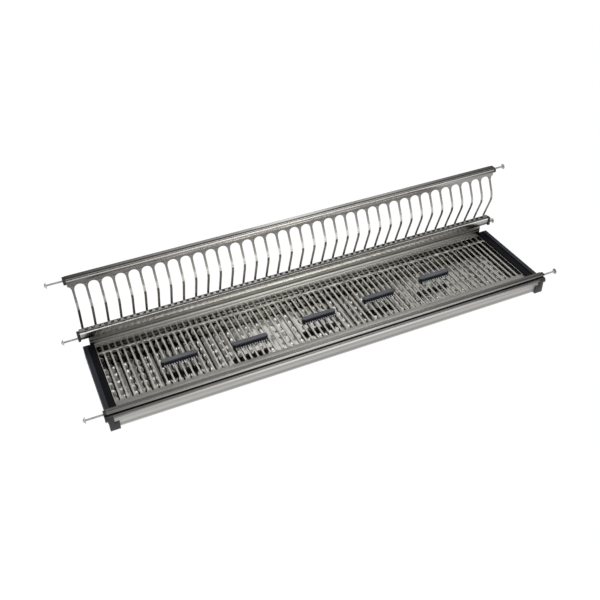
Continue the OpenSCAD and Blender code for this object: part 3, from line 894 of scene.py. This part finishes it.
@dataclass
class GlassClips(Assembly):
    """The five plastic clips that slide in the shelf's slots."""

    count: int = 5
    rib_pitch: float = 11.65 / 3 * MM
    rib_width: float = 1.9 * MM
    rib_out: float = 1.3 * MM
    rib_edge: float = 0.5 * MM
    teeth: int = 14
    tooth_pitch: float = 4.4 * MM
    tooth_width: float = 2.0 * MM
    tooth_high: float = 2.1 * MM
    tooth_edge: float = 0.4 * MM
    foot_edge: float = 0.8 * MM
    foot_overlap: float = 0.5 * MM
    end_steps: int = 12
    block_steps: int = 2
    crown_drop: float = 3.4 * MM
    crown_steps: int = 6
    crown_angle: float = 1.0
    shade_drop: float = 2.7 * MM
    shade_tilt: float = -0.35
    smooth: float = 50.0

    def body_shape(self, low: Vector, high: Vector, front: float, base: float) -> Shape:
        """The clip's rounded bar over its feet.

        Args:
            low: Lowest corner of the clip.
            high: Highest corner of the clip.
            front: Y of the bar's front.
            base: Height of the bar's underside.

        Returns:
            A closed bar with rounded ends and a crowned top.
        """
        shape = bmesh.new()
        half = (high.y - front) / 2 - self.rib_out
        mid_y = (high.y + front) / 2
        outline = []
        for side, tip in ((1, high.x), (-1, low.x)):
            centre = tip - side * (self.rib_out + half)
            for i in range(self.end_steps + 1):
                angle = side * math.pi / 2 - math.pi * i / self.end_steps
                outline.append((centre + half * math.cos(angle), mid_y + half * math.sin(angle)))
        foot = [shape.verts.new((x, y, base)) for x, y in outline]
        face = shape.faces.new(foot)
        raised = bmesh.ops.extrude_face_region(shape, geom=[face])["geom"]
        top = [v for v in raised if isinstance(v, bmesh.types.BMVert)]
        bmesh.ops.translate(shape, verts=top, vec=(0, 0, high.z - base))
        bmesh.ops.recalc_face_normals(shape, faces=shape.faces)
        crown = [e for e in shape.edges if all(v.co.z > high.z - NEAR for v in e.verts)
                 and len(e.link_faces) == 2 and e.calc_face_angle(0.0) > self.crown_angle]
        bevel(shape, crown, self.crown_drop, self.crown_steps)
        return shape

    def add_block(self, shape: Shape, low: Sequence[float], high: Sequence[float], edge: float) -> None:
        """Adds a block with rounded edges to a mesh.

        Args:
            shape: Where it goes.
            low: Its lowest corner.
            high: Its highest corner.
            edge: Radius of its edges.
        """
        size = [b - a for a, b in zip(low, high)]
        middle = [(a + b) / 2 for a, b in zip(low, high)]
        matrix = Matrix.Translation(middle) @ Matrix.Diagonal((*size, 1.0))
        made = bmesh.ops.create_cube(shape, size=1.0, matrix=matrix)["verts"]
        edges = list(dict.fromkeys(e for v in made for e in v.link_edges))
        bevel(shape, edges, edge, self.block_steps)

    def build(self) -> None:
        """Builds each clip from its bar, its ribs, its teeth and its feet."""
        for i in range(1, self.count + 1):
            name = "glass_clip_%d" % i
            low, high = span_of(self.node(name))
            shelf_top = self.bar_base(name)
            front = min(v.co.y for v in self.node(name).data.vertices if v.co.z > high.z - NEAR)
            shape = self.body_shape(low, high, front, shelf_top)
            length = high.x - low.x - 2 * self.rib_out - (high.y - front)
            ribs = int(length / self.rib_pitch)
            middle = (low.x + high.x) / 2
            for k in range(ribs + 1):
                x = middle + (k - ribs / 2) * self.rib_pitch
                self.add_block(shape, (x - self.rib_width / 2, front, shelf_top),
                               (x + self.rib_width / 2, high.y, high.z - self.crown_drop),
                               self.rib_edge)
            for k in range(self.teeth):
                x = middle + (k - (self.teeth - 1) / 2) * self.tooth_pitch
                half = self.tooth_width / 2
                self.add_block(shape, (x - half, low.y, shelf_top),
                               (x + half, front + self.rib_out, shelf_top + self.tooth_high),
                               self.tooth_edge)
            for foot_low, foot_high in self.feet(name, shelf_top):
                self.add_block(shape, foot_low, foot_high, self.foot_edge)
            piece = mesh_object(name + "_moulded", shape, CLIP_BLUE, self.smooth)
            piece.data.materials.append(CLIP_TIP_GLINT.material())
            piece.data.materials.append(CLIP_FRONT_SHADE.material())
            # The teeth get a painted glint, and the lower faces turned to the front a painted shade.
            for face in piece.data.polygons:
                if face.center.y < front - self.rib_out and face.center.z > shelf_top:
                    face.material_index = 1
                elif face.normal.y < self.shade_tilt and face.center.z < high.z - self.shade_drop:
                    face.material_index = 2
            self.take(piece, "clip_plastic", name, body="clip_%d" % i)

    def bar_base(self, name: str) -> float:
        """Height of the underside of a clip's bar.

        Args:
            name: The clip's node.

        Returns:
            The second lowest of the solid's levels, in metres.
        """
        return sorted({round(v.co.z, 5) for v in self.node(name).data.vertices})[1]

    def feet(self, name: str, shelf_top: float) -> List[Tuple[Point, Point]]:
        """Boxes of the clip's feet.

        Args:
            name: The clip's node.
            shelf_top: Height of the bar's underside.

        Returns:
            The lowest and highest corner of each foot.
        """
        low = span_of(self.node(name))[0]
        soles = [v.co for v in self.node(name).data.vertices if v.co.z < low.z + NEAR]
        ends = sorted({round(point.x, 5) for point in soles})
        depth = [point.y for point in soles]
        return [((a, min(depth), low.z), (b, max(depth), shelf_top + self.foot_overlap))
                for a, b in zip(ends[::2], ends[1::2])]


@dataclass
class FixingScrews(Assembly):
    """The six screws and washers that hold the rack between the cabinet's sides."""

    thread_pitch: float = 1.4 * MM
    thread_depth: float = 0.5 * MM
    crest_slope: float = 3.2
    shank_radius: float = 2.0 * MM
    shank_gap: float = 0.2 * MM
    around: int = 20
    rings_per_turn: int = 6
    tip: float = 4.0 * MM
    blunt: float = 0.04
    head_edge: float = 0.25 * MM
    head_corner: float = 50.0
    washer_edge: float = 0.3 * MM
    smooth: float = 45.0

    def thread(self, shape: Shape, start: Vector, inward: float, length: float) -> None:
        """Adds a threaded shank as one closed surface.

        Args:
            shape: Where it goes.
            start: Where the shank leaves the head, on its axis.
            inward: The direction of its point along X, 1 or -1.
            length: Its length to the point.
        """
        count = round(length / self.thread_pitch * self.rings_per_turn)
        rings = []
        for j in range(count + 1):
            along = length * j / count
            taper = min(1.0, max(self.blunt, (length - along) / self.tip))
            ring = []
            for i in range(self.around):
                turn = i / self.around
                phase = (along / self.thread_pitch - turn) % 1.0
                crest = max(0.0, 1.0 - abs(phase - 0.5) * self.crest_slope)
                radius = taper * (self.shank_radius - self.thread_depth * (1.0 - crest))
                ring.append(shape.verts.new((start.x + inward * along,
                                             start.y + radius * math.cos(math.tau * turn),
                                             start.z + radius * math.sin(math.tau * turn))))
            rings.append(ring)
        made = [shape.faces.new(rings[0]), shape.faces.new(list(reversed(rings[-1])))]
        for first, second in zip(rings, rings[1:]):
            for i in range(self.around):
                k = (i + 1) % self.around
                made.append(shape.faces.new((first[i], first[k], second[k], second[i])))
        bmesh.ops.recalc_face_normals(shape, faces=made)

    def screw(self, name: str, end: End) -> None:
        """Builds one screw from its solid's head and a threaded shank.

        Args:
            name: End and rail of the screw.
            end: The end of the rack that it stands at.
        """
        node = self.node("screw_" + name)
        low, high = span_of(node)
        washer_low, washer_high = span_of(self.node("washer_" + name))
        seat = washer_high.x if end is End.RIGHT else washer_low.x
        shape = merged_copy(node)
        geom = list(shape.verts) + list(shape.edges) + list(shape.faces)
        bmesh.ops.bisect_plane(shape, geom=geom, plane_co=(seat, 0, 0), plane_no=(end.value, 0, 0),
                               clear_inner=True)
        bmesh.ops.holes_fill(shape, edges=shape.edges)
        bmesh.ops.recalc_face_normals(shape, faces=shape.faces)
        rounded(shape, self.head_edge, corner=self.head_corner)
        tip_x = low.x if end is End.RIGHT else high.x
        axis_y, axis_z = (low.y + high.y) / 2, (low.z + high.z) / 2
        start = Vector((seat + end.value * self.shank_gap, axis_y, axis_z))
        self.thread(shape, start, -end.value, abs(tip_x - seat))
        piece = mesh_object("screw_%s_threaded" % name, shape, ZINC, self.smooth)
        self.take(piece, "zinc_steel", "screw_" + name, body="screw_%s_set" % name)

    def build(self) -> None:
        """Builds each screw and rounds each washer."""
        for end in End:
            for rail in Rail:
                name = "%s_%s" % (end.label, rail.value)
                self.screw(name, end)
                self.soften("washer_" + name, ZINC, "zinc_steel", self.washer_edge,
                            body="washer_%s_set" % name)


@dataclass(frozen=True)
class SoftBox:
    """One lamp of the studio."""

    name: str
    place: Point
    target: Point
    size: Tuple[float, float]
    power: float

    def build(self) -> None:
        """Hangs the lamp and turns it to its target."""
        data = bpy.data.lights.new(self.name, "AREA")
        data.shape = "RECTANGLE"
        data.size, data.size_y = self.size
        data.energy = self.power
        made = bpy.data.objects.new(self.name, data)
        made.location = self.place
        heading = Vector(self.target) - Vector(self.place)
        made.rotation_euler = heading.to_track_quat("-Z", "Y").to_euler()
        bpy.context.scene.collection.objects.link(made)


@dataclass
class Studio:
    """Pale floor, soft light and the camera."""

    eye: Point = (-0.4806, -1.0340, 0.9473)
    right: Point = (0.912598, -0.408111, -0.024704)
    up: Point = (0.269884, 0.555910, 0.786211)
    back: Point = (-0.307128, -0.724161, 0.617465)
    lens: float = 47.03
    film: float = 36.0
    near: float = 0.01
    far: float = 60.0
    floor_half: float = 12.0
    floor_paint: Colour = (0.86, 0.86, 0.86)
    floor_rough: float = 0.9
    floor_white: float = 1.04
    floor_glow: float = 0.93
    white: float = 1.25
    world_light: float = 1.6
    blend_half: float = 0.25
    front_levels: Stops = ((0.0, 0.95), (0.18, 0.80), (0.32, 0.16), (0.50, 0.14), (0.66, 0.80),
                           (0.80, 0.60), (1.0, 0.25))
    rear_levels: Stops = ((0.0, 0.20), (0.25, 0.15), (0.45, 0.16), (0.58, 0.13), (0.68, 0.15),
                          (0.75, 1.0), (1.0, 0.75))
    lamps: Tuple[SoftBox, ...] = (
        SoftBox("key", (0.6, -1.2, 2.2), (0.0, 0.0, 0.05), (1.6, 1.0), 12.0),
        SoftBox("card", (0.84, 2.2, 1.8), (-0.05, 0.05, 0.0), (0.6, 0.9), 1.1),
        SoftBox("side_card", (2.2, 2.4, 2.0), (0.3, 0.05, 0.0), (1.0, 0.9), 1.1),
        SoftBox("fill", (-2.2, -0.6, 1.2), (0.0, 0.0, 0.05), (1.2, 1.2), 3.0))

    def camera(self) -> None:
        """Places the camera at the photograph's viewing angle."""
        data = bpy.data.cameras.new("camera")
        data.sensor_width = self.film
        data.lens = self.lens
        data.clip_start = self.near
        data.clip_end = self.far
        made = bpy.data.objects.new("camera", data)
        turn = Matrix((self.right, self.up, self.back)).transposed()
        made.matrix_world = Matrix.Translation(Vector(self.eye)) @ turn.to_4x4()
        bpy.context.scene.collection.objects.link(made)
        bpy.context.scene.camera = made

    def floor(self) -> None:
        """Lays a pale floor that shows white and keeps a soft shadow."""
        shape = bmesh.new()
        bmesh.ops.create_grid(shape, x_segments=2, y_segments=2, size=self.floor_half)
        mesh = bpy.data.meshes.new("floor")
        shape.to_mesh(mesh)
        shape.free()
        made = bpy.data.objects.new("floor", mesh)
        bpy.context.scene.collection.objects.link(made)
        material = bpy.data.materials.new("pale_floor")
        material.use_nodes = True
        sheet = NodeSheet(material.node_tree)
        paint = sheet.add("BsdfPrincipled", Roughness=self.floor_rough)
        paint.inputs["Base Color"].default_value = (*self.floor_paint, 1.0)
        glow = sheet.add("Emission", Strength=self.floor_white)
        path = sheet.add("LightPath")
        seen = sheet.math("MAXIMUM", path.outputs["Is Camera Ray"],
                          sheet.math("MAXIMUM", path.outputs["Is Glossy Ray"],
                                     path.outputs["Is Transmission Ray"]))
        mix = sheet.add("MixShader")
        sheet.link(sheet.math("MULTIPLY", seen, self.floor_glow), mix.inputs[0])
        sheet.link(paint.outputs[0], mix.inputs[1])
        sheet.link(glow.outputs[0], mix.inputs[2])
        out = sheet.add("OutputMaterial")
        sheet.link(mix.outputs[0], out.inputs["Surface"])
        mesh.materials.append(material)

    def gradient(self, sheet: NodeSheet, height: Socket, levels: Stops) -> Socket:
        """Grades the sky over its height.

        Args:
            sheet: The world's tree.
            height: The heading's upward part.
            levels: Pairs of height and brightness.

        Returns:
            The sky's colour.
        """
        ramp = sheet.add("ValToRGB")
        stops = ramp.color_ramp.elements
        for place, level in levels[1:-1]:
            stops.new(place)
        for stop, (place, level) in zip(stops, levels):
            stop.position = place
            stop.color = (level, level, level, 1.0)
        sheet.link(height, ramp.inputs[0])
        return ramp.outputs[0]

    def world(self) -> None:
        """Lights the room by two graded skies, front and rear, and shows the camera white.

        Glossy rays still meet the skies, so metal mirrors them and not the white.
        """
        made = bpy.data.worlds.new("studio")
        bpy.context.scene.world = made
        made.use_nodes = True
        sheet = NodeSheet(made.node_tree)
        path = sheet.add("LightPath")
        seen = sheet.math("MAXIMUM", path.outputs["Is Camera Ray"],
                          path.outputs["Is Transmission Ray"])
        heading = sheet.add("TexCoord")
        parts = sheet.add("SeparateXYZ")
        sheet.link(heading.outputs["Generated"], parts.inputs[0])
        facing = sheet.add("MapRange")
        facing.inputs["From Min"].default_value = -self.blend_half
        facing.inputs["From Max"].default_value = self.blend_half
        sheet.link(parts.outputs["Y"], facing.inputs["Value"])
        sky = sheet.add("Mix", data_type="RGBA")
        # A Mix node keeps its colour sockets behind those of its other data types.
        front_socket, rear_socket, sky_colour = sky.inputs[6], sky.inputs[7], sky.outputs[2]
        sheet.link(facing.outputs[0], sky.inputs[0])
        sheet.link(self.gradient(sheet, parts.outputs["Z"], self.front_levels), front_socket)
        sheet.link(self.gradient(sheet, parts.outputs["Z"], self.rear_levels), rear_socket)
        plain = sheet.add("Background", Strength=self.world_light)
        sheet.link(sky_colour, plain.inputs["Color"])
        shown = sheet.add("Background", Strength=self.white)
        mix = sheet.add("MixShader")
        sheet.link(seen, mix.inputs[0])
        sheet.link(plain.outputs[0], mix.inputs[1])
        sheet.link(shown.outputs[0], mix.inputs[2])
        out = sheet.add("OutputWorld")
        sheet.link(mix.outputs[0], out.inputs["Surface"])

    def build(self) -> None:
        """Sets up the whole studio."""
        self.camera()
        self.floor()
        self.world()
        for lamp in self.lamps:
            lamp.build()
        bpy.context.scene.view_settings.view_transform = "Standard"


def main() -> None:
    """Builds the studio and dresses every sub-assembly."""
    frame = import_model()
    Studio().build()
    for part in (Rails, PlateComb, GlassShelf, DripTray, GlassClips, FixingScrews):
        part(frame).build()
        log.info("built %s", part.__name__)


if __name__ == "__main__":
    main()
